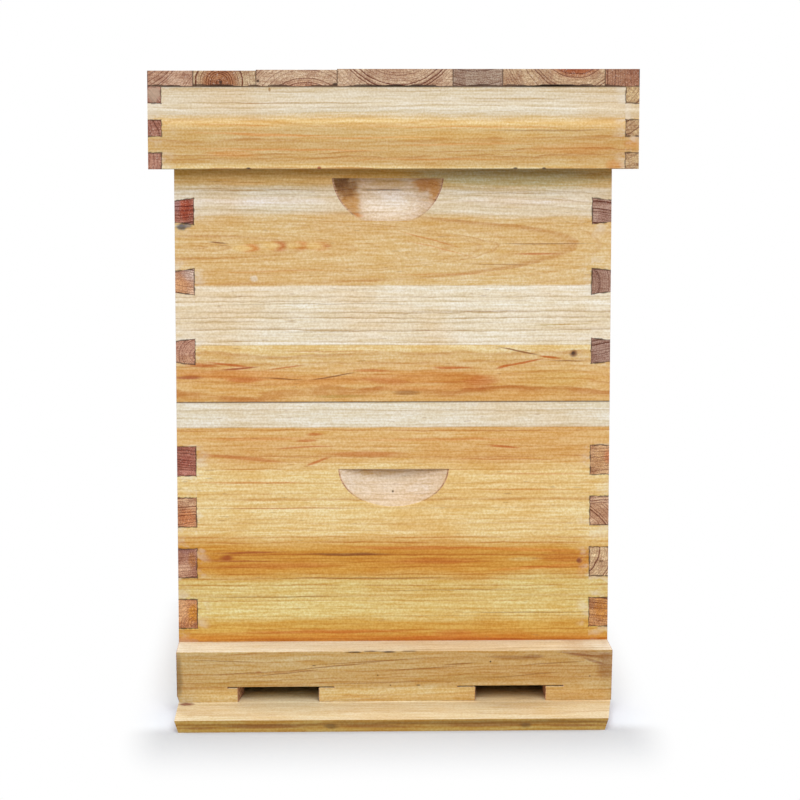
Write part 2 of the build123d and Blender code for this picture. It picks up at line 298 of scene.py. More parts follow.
def corner_seam():
    """The lines round the fingers of a corner joint, uneven as in glued wood, and the glue wiped near them."""
    tree, got = group("corner_seam", {
        **floats("X", "Y", "Z", "Start", "Flare", "Low", "High", "Seed"), "Pitch": 0.05, "Finger": 0.03,
        "Inside": 0.187, "Outside": 0.205, "Depth": 0.2345,
    })
    x, y, z, seed = abs(got["X"]), abs(got["Y"]), got["Z"], got["Seed"]
    pitch, finger, deep, inside, outside = (
        got[key] for key in ("Pitch", "Finger", "Depth", "Inside", "Outside")
    )
    slack, finger_slack, skin, far = 0.0006, 0.0005, 0.001, 0.05
    turn = (pitch * 0.5 + (z - (finger * 0.5 + got["Start"]))) % pitch
    off = abs(pitch * -0.5 + turn)
    half = finger * 0.5 - got["Flare"] * level(x, inside, outside)
    in_column = (x > inside - slack) * (y > deep - slack)
    on_finger = off < half + finger_slack
    side = (1.0 - in_column) * far + abs(off - half)
    root = (1.0 - on_finger) * far + abs(x - inside)
    toe = (x < outside - skin) * far + (on_finger * far + abs(y - deep))
    apart = maths("MINIMUM", side, maths("MINIMUM", root, toe))
    uneven = stretched(got["X"], got["Y"], z, seed, (170.0, 170.0, 170.0), 2.0)
    width = ease(uneven, 0.38, 0.66) * 0.0014 + 0.0003
    within = (z > got["Low"]) * (z < got["High"])
    wiped = ease(stretched(got["X"], got["Y"], z, seed, (60.0, 60.0, 90.0), 3.0, 0.6), 0.46, 0.64)
    return close(
        tree, Seam=ease(apart, 0.0, width, 1.0, 0.0) * within,
        Smear=ease(apart, 0.002, 0.016, 1.0, 0.0) * wiped * within,
    )


def comb_cells():
    """The six-sided cells pressed into a wax sheet."""
    tree, got = group("comb_cells", {**floats("Across", "Up"), "Size": 0.0054})
    a, b = got["Across"] / got["Size"], got["Up"] / got["Size"]
    high = math.sqrt(3.0)
    lengths, walls = [], []
    for shift in (0.0, 0.5):
        x = (a + shift) % 1.0 - 0.5
        y = (b + shift * high) % high - high / 2
        lengths.append(x * x + y * y)
        x, y = abs(x), abs(y)
        walls.append(maths("MAXIMUM", x, y * (high / 2) + x * 0.5))
    edge = (lengths[0] < lengths[1]) * (walls[0] - walls[1]) + walls[1]
    return close(tree, Wall=ease(edge, 0.36, 0.48))


RINGS = growth_rings()
TONE = wood_tone()
MARK = frayed_mark()
CORNER = corner_seam()
CELLS = comb_cells()

# Tones of the wood; two of them also paint the shade under the lid rim
CREAM = srgb(226, 210, 183)
PALE = srgb(221, 204, 177)
STRAW = srgb(229, 200, 146)
YELLOW = srgb(219, 196, 136)
GOLD = srgb(218, 187, 141)
ORANGE = srgb(217, 174, 117)
DEEP = srgb(205, 151, 68)
AMBER = srgb(206, 130, 56)
RUST = srgb(188, 102, 40)
RED = srgb(158, 74, 40)
BROWN = srgb(136, 86, 48)
GRIME = srgb(66, 45, 32)
GLUE = srgb(230, 222, 212)
FRESH = srgb(226, 203, 178)
EMBER = srgb(196, 131, 51)
OCHRE = srgb(204, 161, 81)
OLIVE = srgb(184, 152, 84)
# The next two tones paint the shade under the lid rim at the top of the upper front board; the second is also a
# plain warm tone of the lid rim.
SHADED = srgb(222, 172, 92)
WARM_AND_SHADE = srgb(226, 190, 134)
FLUSH = srgb(234, 218, 204)
MILK = srgb(233, 217, 190)
BURNT = srgb(196, 126, 48)
SOOT = srgb(82, 76, 82)
SOOT_PALE = srgb(126, 116, 120)
RIM_PALE = srgb(212, 193, 164)
RIM_GOLD = srgb(200, 165, 114)
SAWN = srgb(190, 148, 122)

# The axes along the grain, across it and up
GRAIN = {"X": ("X", "Y", "Z"), "Y": ("Y", "X", "Z")}
# A strip's values ride in the colours of a stepped ramp, so each is a share of a span
PITH_SPAN = 2.0
RING_SPAN = 0.02
RIPPLE_SPAN = 4.0


def metres(*lengths):
    """Lengths in millimetres, as a vector in metres."""
    return tuple(length / 1000 for length in lengths)


class Surface:
    """A material being built, with its position and facing read once."""

    def __init__(self, name, grain):
        self.material = bpy.data.materials.new(name)
        self.material.use_nodes = True
        tree = self.material.node_tree
        tree.nodes.clear()
        coords = results(node("TexCoord", {}, tree))
        self.place = coords["Object"]
        self.at = results(node("SeparateXYZ", {0: self.place}))
        self.facing = results(node("SeparateXYZ", {0: coords["Normal"]}))
        self.along, self.across, self.up = (self.at[axis] for axis in GRAIN[grain])
        self.end = ease(abs(self.facing[grain]), 0.13, 0.42)

    def rings(self, values, seed):
        return use(RINGS, {"Along": self.along, "Across": self.across, "Up": self.up, "Seed": seed, **values})

    def tone(self, rings, base, late, end_tint):
        return use(TONE, {
            **{key: rings[key] for key in ("Ring", "Year", "Streak", "Fleck")},
            "End": self.end, "Late": late, "Base": base, "End Tint": end_tint, "Place": self.place,
        })

    def streaks(self, colour, rows, seed):
        """Resin streaks and painted shade and light: rows of (along, up, reach, thickness, slope, strength,
        tint), in mm.
        """
        sway = noise(vector(self.along * 28.0 + seed, seed)) - 0.5
        place = vector(self.along, 0.0, sway * 0.0026 + self.up)
        fray = stretched(self.along, 0.0, self.up, seed, (24.0, 0.0, 420.0), 3.0, 0.6)
        cover = 1.0 - self.end
        for along, up, reach, thick, slope, strength, tint in rows:
            mask = use(MARK, {
                "Place": place, "At": metres(along, 0.0, up), "Turn": (0.0, -math.atan(slope), 0.0),
                "Reach": metres(reach, 1000.0, thick), "Fray": fray,
            })["Mask"]
            colour = mix(mask * cover * strength, colour, tint)
        return colour

    def marks(self, colour, rows, cover=1.0):
        """Stains, dots and cracks, and in some rows painted shade: rows of (x, y, z, half length on each axis,
        strength, tint), in mm.
        """
        fray = noise(self.place, 260.0, 4.0, 0.65)
        for x, y, z, wide, deep, high, strength, tint in rows:
            mask = use(MARK, {
                "Place": self.place, "At": metres(x, y, z), "Reach": metres(wide, deep, high), "Fray": fray,
            })["Mask"]
            colour = mix(mask * cover * strength, colour, tint)
        return colour

    def corner(self, colour, joint, seed, smear, seam):
        """Dark joint lines and wiped glue at a corner."""
        lines = use(CORNER, {**self.at, "Seed": seed, **joint})
        colour = mix(lines["Smear"] * (1.0 - self.end) * smear, colour, GLUE)
        return mix(lines["Seam"] * seam, colour, GRIME)

    def shade(self, bump, inputs):
        """The material's shader, with its relief as a bump."""
        normal = result("Bump", bump)
        node("OutputMaterial", {0: result("BsdfPrincipled", {**inputs, "Normal": normal})})
        return self.material

    def finish(self, colour, tone):
        return self.shade(
            {"Height": tone["Height"], "Strength": 0.12, "Distance": 0.0006},
            {"Base Color": colour, "Roughness": tone["Roughness"], "Specular IOR Level": 0.28},
        )


def on_face(face, deep, rows):
    """Marks that lie on one upright face: rows of (x, z, half width, half height, strength, tint), in mm."""
    return [(x, face, z, wide, deep, high, strength, tint) for x, z, wide, high, strength, tint in rows]


def box_wood(name, grain, low, high, bands, calm, strips, joint, seed, streaks=(), marks=(), hollow=None,
             end_tints=None, end_marks=()):
    """A board glued up from strips.

    bands: (height, tone) up the board; calm: (height, share), how far the bands may wander; strips: (foot, pith
    up, pith across, lean, ring width, ripple, late wood); hollow: (face, outward, ledge, end grain share, end
    grain tint, stains) of a handhold, its marks being coloured patches and painted shade below the ledge;
    end_tints: (height, tint at the front, tint at the back) of the end grain; end_marks: stained patches on the
    end grain.
    """
    s = Surface(name, grain)
    up = s.up

    def spot(height):
        return min(max((height - low) / (high - low), 0.0), 1.0)

    rise = level(up, low, high)
    share = ramp(rise, [(spot(h), grey(v)) for h, v in calm])
    roll = stretched(s.along, s.across, up, seed, (6.0, 12.0, 9.0), 3.0) - 0.5
    base = ramp(level(roll * (share * 0.022) + up, low, high), [(spot(h), c) for h, c in bands])
    piths, growths = [], []
    for foot, pith_up, pith_across, lean, ring, ripple, late in strips:
        at = spot(foot)
        piths.append((at, ((pith_up - low) / PITH_SPAN + 0.5, pith_across / PITH_SPAN + 0.5, lean + 0.5, 1.0)))
        growths.append((at, (ring / RING_SPAN, ripple / RIPPLE_SPAN, late, 1.0)))
    pith = split(ramp(rise, piths, "CONSTANT"))
    growth = split(ramp(rise, growths, "CONSTANT"))
    rings = s.rings({
        "Pith Up": pith[0] * PITH_SPAN + (low - PITH_SPAN / 2),
        "Pith Across": pith[1] * PITH_SPAN - PITH_SPAN / 2,
        "Lean": pith[2] - 0.5, "Ring Width": growth[0] * RING_SPAN, "Ripple": growth[1] * RIPPLE_SPAN,
        "Wander": 0.002,
    }, seed)
    tint = SAWN
    if end_tints:
        front = ramp(rise, [(spot(h), f) for h, f, b in end_tints], "CONSTANT")
        back = ramp(rise, [(spot(h), b) for h, f, b in end_tints], "CONSTANT")
        tint = s.marks(mix(s.at["Y"] > 0.0, front, back), end_marks)
    base = s.streaks(base, streaks, seed)
    if hollow:
        face, outward, ledge, end_share, end_tint, hollow_marks_and_shade = hollow
        depth = (face - s.at["Y"]) * outward
        inside = ease(depth, 0.0003, 0.0010) * (depth < HAND_DEPTH) * (up < ledge + 0.001)
        inside = inside * (abs(s.at["X"]) < HAND_HALF)
        base = s.marks(mix(inside * 0.85, base, FRESH), hollow_marks_and_shade, inside)
        tint = mix(inside, tint, end_tint)
        s.end = s.end * (inside * (end_share - 1.0) + 1.0)
    tone = s.tone(rings, s.marks(base, marks), growth[2], tint)
    colour = tone["Color"]
    for strip in strips[1:]:
        colour = mix(maths("COMPARE", up, strip[0], 0.00025) * 0.22, colour, BROWN)
    colour = s.corner(colour, joint, seed, smear=0.34, seam=0.9)
    rim = maths("MINIMUM", up - low, high - up)
    colour = mix(ease(rim, 0.0002, 0.0012, 0.7, 0.0), colour, GRIME)
    return s.finish(colour, tone)


def log_wood(name, grain, pith, sap, heartwood, seed, ring=0.004, heart=0.03, soft=0.006, late=0.65, lean=0.0,
             wander=0.004, ripple=0.6, end_tint=SAWN, end_heart=None, joint=None, streaks=(), marks=(),
             face_tone_and_light=(), edges=(), foot=None, painted_light_band=None):
    """One plank from one log, with its pith at (across, up).

    face_tone_and_light: (axis, sign, tint, share) of faces with a tone of their own, painted light and shade
    for how light falls on them, on some faces also their own darker wood; edges: places across where it meets
    its neighbours;
    foot: the height of the dark line it stands on; bed: (from, to, tint) across, a paler band of painted light
    where a piece stands over it.
    """
    s = Surface(name, grain)
    rings = s.rings({
        "Pith Across": pith[0], "Pith Up": pith[1], "Lean": lean, "Ring Width": ring, "Wander": wander,
        "Ripple": ripple,
    }, seed)
    core = ease(rings["Radius"], heart - soft, heart + soft, 1.0, 0.0)
    base = mix(core, sap, heartwood)
    # Faces with tones of their own: painted light and shade for how light falls on them.
    for axis, sign, tint, share in face_tone_and_light:
        base = mix(ease(s.facing[axis] * sign, 0.3, 0.8) * share, base, tint)
    # A paler band of painted light across the plank, where a piece stands over it.
    if painted_light_band:
        start, stop, tint = painted_light_band
        blur = 0.004
        under = ease(s.across, start - blur, start + blur) * ease(s.across, stop - blur, stop + blur, 1.0, 0.0)
        base = mix(under, base, tint)
    base = s.streaks(base, streaks, seed)
    tone = s.tone(rings, base, late, mix(core, end_tint, end_heart) if end_heart else end_tint)
    colour = s.marks(tone["Color"], marks)
    if joint:
        colour = s.corner(colour, joint, seed, smear=0.2, seam=0.85)
    for edge in edges:
        colour = mix(ease(abs(s.across - edge), 0.0002, 0.0009, 0.7, 0.0), colour, GRIME)
    if foot:
        uneven = stretched(s.across, s.along, 0.0, seed, (60.0, 60.0, 0.0), 3.0)
        high = ease(uneven, 0.35, 0.65) * 0.0018 + 0.0004
        colour = mix((s.at["Z"] - foot < high) * 0.85, colour, GRIME)
    return s.finish(colour, tone)


def frame_bar_wood():
    """Frame bars: pale straight wood, end bars upright, each frame from its own batten."""
    s = Surface("frame_bar_wood", "Y")
    x, y, z = s.at["X"], s.at["Y"], s.at["Z"]
    middle_frame = 5
    number = maths("FLOOR", (x + middle_frame * FRAME_PITCH) / FRAME_PITCH)
    own = chance(number + 0.5)
    in_box = (z > SEAM) * -FRAME_RISE + z
    upright = (abs(y) > END_BAR) * (in_box < END_BAR_TOP)
    s.along = upright * (z - y) + y
    s.up = upright * (y - z) + z
    facing = upright * (s.facing["Z"] - s.facing["Y"]) + s.facing["Y"]
    s.end = ease(abs(facing), 0.3, 0.8)
    rings = s.rings({
        "Pith Across": own * 0.3 - 0.25, "Pith Up": own * 0.5 + 0.4, "Ring Width": 0.0026, "Ripple": 0.4,
        "Wander": 0.002,
    }, number * 3.1)
    tone = s.tone(rings, mix(own, GOLD, CREAM), 0.65, srgb(200, 164, 136))
    return s.finish(tone["Color"], tone)


def wax():
    """Wax foundation: yellow, clouded, pressed with cells."""
    s = Surface("beeswax", "Y")
    wall = use(CELLS, {"Across": s.at["Y"], "Up": s.at["Z"]})["Wall"]
    cloud = ease(noise(s.place, 14.0, 3.0), 0.35, 0.7)
    bloom = ease(noise(s.place, 55.0), 0.55, 0.75)
    colour = mix(cloud, srgb(232, 178, 74), srgb(242, 204, 116))
    colour = mix(wall * 0.55, colour, srgb(250, 224, 156))
    colour = mix(bloom * 0.25, colour, srgb(248, 236, 204))
    return s.shade(
        {"Height": wall, "Strength": 0.6, "Distance": 0.0012},
        {"Base Color": colour, "Roughness": cloud * 0.15 + 0.38},
    )


def steel(name, bright, rust):
    """Drawn wire, dulled and spotted with rust."""
    s = Surface(name, "Y")
    film = noise(s.place, 240.0, 3.0)
    spots = ease(noise(s.place, 130.0, 3.0, 0.65), 0.50, 0.66) * rust
    colour = mix(spots, mix(film, bright, srgb(120, 118, 116)), srgb(112, 68, 42))
    metal = maths("SUBTRACT", 1.0, spots, clamp=True)
    rough = spots * 0.35 + (film * 0.25 + 0.25)
    return s.shade(
        {"Height": film, "Strength": 0.15, "Distance": 0.0003},
        {"Base Color": colour, "Roughness": rough, "Metallic": metal},
    )


# Widths of the eased edges
BOARD_EDGE = 0.0006
BAR_EDGE = 0.0004


def dress(name, material, edge=None):
    """A CAD node with its finish and, where an edge width is given, eased edges."""
    piece = nodes[name]
    for slot in piece.material_slots:
        slot.material = material
    if edge:
        weld = piece.modifiers.new("weld", "WELD")
        weld.merge_threshold = 0.00002
        flat = piece.modifiers.new("flat", "DECIMATE")
        flat.decimate_type = "DISSOLVE"
        flat.angle_limit = math.radians(1.0)
        eased = piece.modifiers.new("eased", "BEVEL")
        eased.width = edge
        eased.segments = 2
        eased.limit_method = "ANGLE"
        eased.angle_limit = math.radians(35.0)


# The finish of each piece, by the piece's name
FINISHES = {}

# Boxes

UPPER_JOINT = {
    "Start": 0.3268, "Pitch": 0.066, "Finger": 0.0245, "Flare": 0.0022, "Low": 0.325, "High": 0.485,
    "Inside": HALF_INSIDE, "Outside": HALF_WIDTH, "Depth": BACK - WALL,
}
LOWER_JOINT = {
    "Start": 0.025, "Pitch": 0.049, "Finger": 0.028, "Flare": 0.0, "Low": 0.0255, "High": 0.2505,
    "Inside": HALF_INSIDE, "Outside": HALF_WIDTH, "Depth": BACK - WALL,
}
LID_JOINT = {
    "Start": RIM_BASE, "Pitch": 0.0304, "Finger": 0.0152, "Flare": 0.0, "Low": RIM_BASE + 0.0004,
    "High": RIM_TOP - 0.0004, "Inside": LID_INSIDE, "Outside": LID_HALF, "Depth": LID_END_INSIDE,
}

FINISHES["upper_front_board"] = box_wood(
    "upper_front_wood", "X", SEAM, UPPER_TOP,
    # Near the top the bands turn into painted shade under the lid rim: a warm tone from 0.498, then the shaded
    # tone from 0.505.
    [(SEAM, ORANGE), (0.318, ORANGE), (0.334, GOLD), (0.3450, STRAW), (0.3454, MILK), (0.4008, MILK),
     (0.4012, GOLD), (0.464, GOLD), (0.470, CREAM), (0.482, CREAM), (0.490, PALE), (0.498, WARM_AND_SHADE),
     (0.505, SHADED), (UPPER_TOP, SHADED)],
    [(SEAM, 0.0), (0.300, 1.0), (0.335, 1.0), (0.343, 0.0), (0.347, 0.0), (0.37, 1.0), (0.398, 0.1),
     (0.404, 0.1), (0.44, 1.0), (0.47, 0.6), (0.49, 0.2), (UPPER_TOP, 0.2)],
    [(SEAM, 0.262, FRONT + 0.050, 0.0, 0.0054, 1.6, 0.70),
     (0.3452, 0.640, FRONT + 0.090, 0.0, 0.0050, 0.35, 0.78),
     (0.4010, 0.4375, FRONT + 0.0187, 0.10, 0.0030, 0.7, 0.46)],
    UPPER_JOINT, 1.7,
    # The first two rows, at z 503, tint the painted shade under the lid rim: lighter and warmer on the left,
    # greyer on the right.
    [(-110, 503, 120, 9.0, 0.0, 0.60, srgb(240, 194, 126)),
     (112, 503, 135, 14.0, 0.0, 0.80, srgb(190, 174, 134)), (-136, 437, 13, 5.4, 0.0, 0.85, AMBER),
     (-142, 437, 12, 4.2, 0.0, 0.85, STRAW), (-109, 438.5, 13, 6.6, 0.0, 0.90, RUST),
     (-115, 438.5, 12.5, 5.4, 0.0, 0.95, STRAW), (-87, 439, 12, 5.6, 0.0, 0.80, AMBER),
     (-93, 439, 11, 4.4, 0.0, 0.90, STRAW), (-70, 438.5, 14, 6.4, 0.0, 0.45, AMBER),
     (-75, 438.5, 12, 4.6, 0.0, 0.80, STRAW), (-62, 439, 6, 1.8, 0.0, 0.45, RUST),
     (-164, 442, 12, 1.1, -0.06, 0.9, BROWN), (145, 440.4, 56, 0.9, 0.0, 0.6, BROWN),
     (137, 431, 29, 1.3, 0.0, 0.75, RUST), (33, 445, 38, 0.9, -0.28, 0.55, AMBER),
     (40, 437, 40, 0.9, -0.25, 0.5, AMBER), (-110, 415, 70, 1.0, 0.02, 0.35, AMBER),
     (60, 412, 90, 0.9, 0.01, 0.35, AMBER), (100, 421, 40, 0.8, -0.02, 0.4, BROWN),
     (150, 312, 46, 16.0, 0.0, 0.40, OCHRE), (-150, 317, 90, 8.0, -0.02, 0.55, AMBER),
     (-70, 311, 90, 7.0, 0.02, 0.40, AMBER), (30, 314, 80, 9.0, 0.0, 0.40, AMBER),
     (-155, 327, 30, 1.7, -0.10, 0.85, RUST), (-145, 323.5, 24, 1.4, 0.09, 0.90, RED),
     (-182, 326.5, 24, 2.8, -0.05, 0.70, RUST), (-192, 314.5, 18, 2.6, 0.0, 0.75, RED),
     (-141, 312.5, 24, 3.0, 0.0, 0.60, RUST), (-104, 313, 26, 0.9, -0.07, 0.85, BROWN),
     (-57, 315.5, 28, 0.9, 0.17, 0.85, BROWN), (-104, 323.5, 22, 1.0, 0.13, 0.75, RUST),
     (-20, 320.5, 30, 2.0, 0.0, 0.65, RUST), (-8, 311, 30, 4.6, -0.05, 0.50, RUST),
     (-52, 296.5, 34, 2.2, 0.0, 0.60, OLIVE), (13, 300, 17, 3.4, 0.0, 0.55, BROWN),
     (62, 312, 38, 13.0, -0.03, 0.65, BURNT), (54, 323.2, 26, 1.8, 0.0, 0.85, RUST),
     (82, 310, 22, 8.0, 0.08, 0.55, RUST), (118, 339.2, 26, 1.1, -0.19, 0.90, BROWN),
     (148, 333.2, 14, 1.6, -0.13, 0.95, RUST), (122, 328, 27, 1.4, 0.21, 0.90, RUST),
     (104, 324.3, 9, 2.1, 0.25, 0.90, RUST), (165, 329.4, 20, 0.9, -0.02, 0.75, BROWN),
     (-60, 339, 60, 0.8, 0.0, 0.45, RUST), (30, 304, 60, 3.0, 0.0, 0.45, AMBER),
     (158, 364, 36, 0.9, 0.01, 0.75, OLIVE), (-60, 384, 130, 0.7, 0.0, 0.4, BROWN),
     (90, 377, 90, 0.7, 0.0, 0.4, BROWN), (-30, 358, 120, 0.7, 0.01, 0.4, BROWN),
     (-130, 491, 72, 0.8, 0.0, 0.40, BROWN), (110, 488, 60, 0.7, 0.0, 0.35, BROWN),
     (-120, 481, 84, 5.0, 0.0, 0.6, FLUSH), (120, 480, 80, 5.0, 0.0, 0.5, FLUSH)],
    on_face(FRONT_FACE, 8, [
        (170.4, 336.7, 5, 4.6, 0.85, srgb(122, 82, 68)), (170, 336.9, 2.6, 2.6, 0.85, GRIME),
        (-131, 408, 5, 4.4, 0.55, GLUE), (-198.5, 457.0, 7, 4.4, 0.90, SOOT),
        (-192.5, 458.4, 5.5, 3.6, 0.75, SOOT_PALE),
    ]),
    (FRONT, -1.0, UPPER_LEDGE, 0.30, srgb(168, 118, 62), [
        (-4, -244, 474, 42, 16, 22, 0.88, srgb(239, 227, 213)),
        (-42, -246, 478, 15, 16, 20, 0.85, srgb(196, 150, 92)),
        (-47, -246, 493, 21, 16, 14, 0.85, srgb(134, 94, 54)),
        (-55, -248, 498, 17, 16, 11, 0.90, srgb(96, 64, 38)),
        (33, -246, 497, 21, 16, 11, 0.85, srgb(190, 128, 62)),
        (42, -248, 487, 11, 16, 15, 0.80, srgb(198, 142, 82)),
        # This row is painted shade below the handhold's ledge.
        (-4, -240, 498, 24, 12, 8, 0.50, srgb(206, 172, 122)),
        (-10, -241, 490.6, 34, 12, 0.8, 0.90, srgb(104, 72, 44)), (-38, -250, 467, 12, 8, 3.0, 0.7, AMBER),
    ]),
)
FINISHES["lower_front_board"] = box_wood(
    "lower_front_wood", "X", LOWER_BASE, SEAM,
    [(LOWER_BASE, EMBER), (0.065, EMBER), (0.071, OCHRE), (0.080, OCHRE), (0.084, YELLOW), (0.118, YELLOW),
     (0.129, DEEP), (0.150, DEEP), (0.163, STRAW), (0.224, STRAW), (0.238, ORANGE), (0.2668, ORANGE),
     (0.2672, CREAM), (SEAM, CREAM)],
    [(LOWER_BASE, 0.6), (0.06, 1.2), (0.17, 1.2), (0.187, 0.0), (0.192, 0.0), (0.225, 1.3), (0.255, 0.6),
     (0.265, 0.0), (SEAM, 0.0)],
    [(LOWER_BASE, -0.300, FRONT + 0.080, 0.0, 0.0042, 0.5, 0.60),
     (0.0850, 0.620, FRONT + 0.100, 0.0, 0.0040, 0.35, 0.66),
     (0.1895, 0.560, FRONT + 0.080, 0.0, 0.0042, 0.35, 0.66),
     (0.2671, 0.060, FRONT + 0.050, 0.0, 0.0038, 0.35, 0.75)],
    LOWER_JOINT, 5.3,
    [(-143, 237.8, 50, 2.6, -0.09, 0.55, RUST), (-72, 234, 16, 1.8, 0.375, 0.8, RUST),
     (-26, 241.5, 50, 3.6, 0.0, 0.55, RUST), (-83, 248, 34, 1.3, 0.03, 0.75, RUST),
     (-75, 260, 11, 2.4, 0.0, 0.70, RUST), (-83, 254, 14, 1.7, 0.02, 0.70, RUST),
     (105, 248, 21, 1.7, -0.1, 0.85, RUST), (100, 236, 80, 0.9, 0.0, 0.55, RUST),
     (50, 255, 120, 2.0, 0.0, 0.5, AMBER), (-130, 256, 70, 2.4, 0.01, 0.5, AMBER),
     (-132, 214.4, 76, 1.1, 0.0, 0.65, AMBER), (-110, 189.6, 92, 0.9, 0.0, 0.6, RUST),
     (120, 207, 80, 0.9, 0.0, 0.5, AMBER), (140, 222, 60, 1.2, 0.0, 0.5, AMBER),
     (-42, 145, 54, 1.9, 0.0, 0.8, BROWN), (-138, 147, 46, 1.5, 0.02, 0.75, RED),
     (-150, 139, 40, 1.3, -0.01, 0.65, RED), (-110, 134, 90, 4.0, 0.01, 0.5, RUST),
     (20, 151, 90, 2.6, -0.01, 0.6, RUST), (40, 138, 60, 4.0, 0.0, 0.5, RUST),
     (130, 149, 66, 2.6, -0.02, 0.7, AMBER), (140, 132, 60, 2.4, 0.07, 0.65, AMBER),
     (127, 139.7, 22, 3.0, 0.02, 0.50, YELLOW), (160, 141, 34, 6.0, 0.0, 0.40, RUST),
     (-60, 70, 120, 2.6, 0.01, 0.6, RUST), (60, 63, 110, 2.4, -0.02, 0.6, RUST),
     (-20, 122, 120, 1.0, 0.0, 0.5, BROWN), (130, 88, 90, 0.9, 0.0, 0.5, BROWN),
     (-110, 104, 90, 0.9, 0.0, 0.5, BROWN), (60, 110, 100, 0.8, 0.0, 0.45, BROWN)],
    on_face(FRONT_FACE, 4, [
        (-158.7, 142, 9, 3.4, 0.8, RED), (58, 68, 26, 5, 0.45, RUST),
        (177.3, 137.6, 3.4, 3.4, 0.9, srgb(116, 48, 40)), (180, 131, 7, 13, 0.30, srgb(206, 140, 84)),
    ])
    + [(-0.5, -243, 204.2, 1.6, 8, 1.6, 0.9, GRIME)],
    (FRONT, -1.0, LOWER_LEDGE, 0.12, srgb(206, 164, 124), [
        # This row is painted shade below the handhold's ledge.
        (-20, -240, 222, 40, 9, 4, 0.4, srgb(196, 150, 100)),
        (24, -246, 206, 16, 10, 7, 0.5, srgb(238, 222, 206)),
    ]),
)
FINISHES["upper_back_board"] = box_wood(
    "upper_back_wood", "X", SEAM, UPPER_TOP,
    [(SEAM, PALE), (0.330, CREAM), (0.352, PALE), (0.3524, GOLD), (0.380, ORANGE), (0.405, GOLD),
     (0.430, STRAW), (0.4446, PALE), (0.445, CREAM), (0.490, PALE), (0.515, GOLD), (UPPER_TOP, ORANGE)],
    [(SEAM, 1.0), (0.345, 1.0), (0.350, 0.0), (0.355, 0.0), (0.39, 1.0), (0.442, 0.0), (0.448, 0.0),
     (0.47, 1.0)],
    [(SEAM, 0.70, BACK - 0.05, 0.0, 0.0046, 0.5, 0.45),
     (0.3522, 0.392, BACK - 0.02, -0.06, 0.0038, 1.0, 0.45),
     (0.4448, 0.20, BACK - 0.06, 0.0, 0.0042, 0.5, 0.42)],
    UPPER_JOINT, 12.9,
    [(-90, 392, 50, 1.6, 0.02, 0.6, RUST), (60, 383, 70, 2.0, -0.02, 0.5, AMBER),
     (120, 400, 12, 1.0, 0.0, 0.7, BROWN), (-20, 525, 90, 2.4, 0.0, 0.5, RUST)],
    on_face(BACK_FACE, 4, [(-150, 352, 5, 4, 0.8, BROWN)]),
    (BACK, 1.0, UPPER_LEDGE, 0.35, srgb(186, 136, 84), ()),
)
FINISHES["lower_back_board"] = box_wood(
    "lower_back_wood", "X", LOWER_BASE, SEAM,
    [(LOWER_BASE, STRAW), (0.060, GOLD), (0.090, ORANGE), (0.1116, GOLD), (0.112, CREAM), (0.150, PALE),
     (0.1836, CREAM), (0.184, GOLD), (0.215, ORANGE), (0.235, DEEP), (0.260, ORANGE), (SEAM, STRAW)],
    [(LOWER_BASE, 1.0), (0.105, 1.0), (0.110, 0.0), (0.114, 0.0), (0.14, 1.0), (0.182, 0.0), (0.186, 0.0),
     (0.21, 1.0)],
    [(LOWER_BASE, 0.072, BACK - 0.03, 0.03, 0.0042, 0.8, 0.45),
     (0.1118, 0.50, BACK - 0.09, 0.0, 0.0050, 0.4, 0.48),
     (0.1838, 0.236, BACK - 0.018, 0.05, 0.0036, 0.9, 0.45)],
    LOWER_JOINT, 15.4,
    [(-60, 238, 80, 2.6, 0.0, 0.6, RUST), (90, 229, 60, 2.0, 0.03, 0.55, AMBER),
     (140, 82, 40, 1.4, 0.0, 0.5, RUST), (-120, 90, 60, 2.2, -0.02, 0.45, AMBER)],
    on_face(BACK_FACE, 4, [(96, 168, 4, 3, 0.8, BROWN)]),
    (BACK, 1.0, LOWER_LEDGE, 0.20, srgb(196, 148, 104), ()),
)


# Ring width, ripple and late wood of a side board's three strips
SIDE_GROWTH = ((0.0028, 0.4, 0.80), (0.0025, 0.9, 0.80), (0.0031, 0.5, 0.80))


def side_wood(name, low, high, joint, seed, tones, cuts, across, piths, end_tints, streaks, end_marks=()):
    """A side board of three glued strips; tones are three to a strip, from its foot to its head."""
    edges = [low, *cuts, high]
    glue_line, calm_edge = 0.0002, 0.002
    bands, calm, strips = [], [], []
    for i, (foot, head) in enumerate(zip(edges, edges[1:])):
        middle = (foot + head) / 2
        bands += zip((foot + glue_line, middle, head - glue_line), tones[i])
        calm += [(foot + calm_edge, 0.0), (middle, 1.2), (head - calm_edge, 0.0)]
        rise, deep = piths[i]
        lean = 0.0 if abs(rise) > 0.1 else 0.04
        strips.append((foot, middle + rise, across + deep, lean, *SIDE_GROWTH[i]))
    return box_wood(name, "Y", low, high, bands, calm, strips, joint, seed, streaks,
                    end_tints=end_tints, end_marks=end_marks)


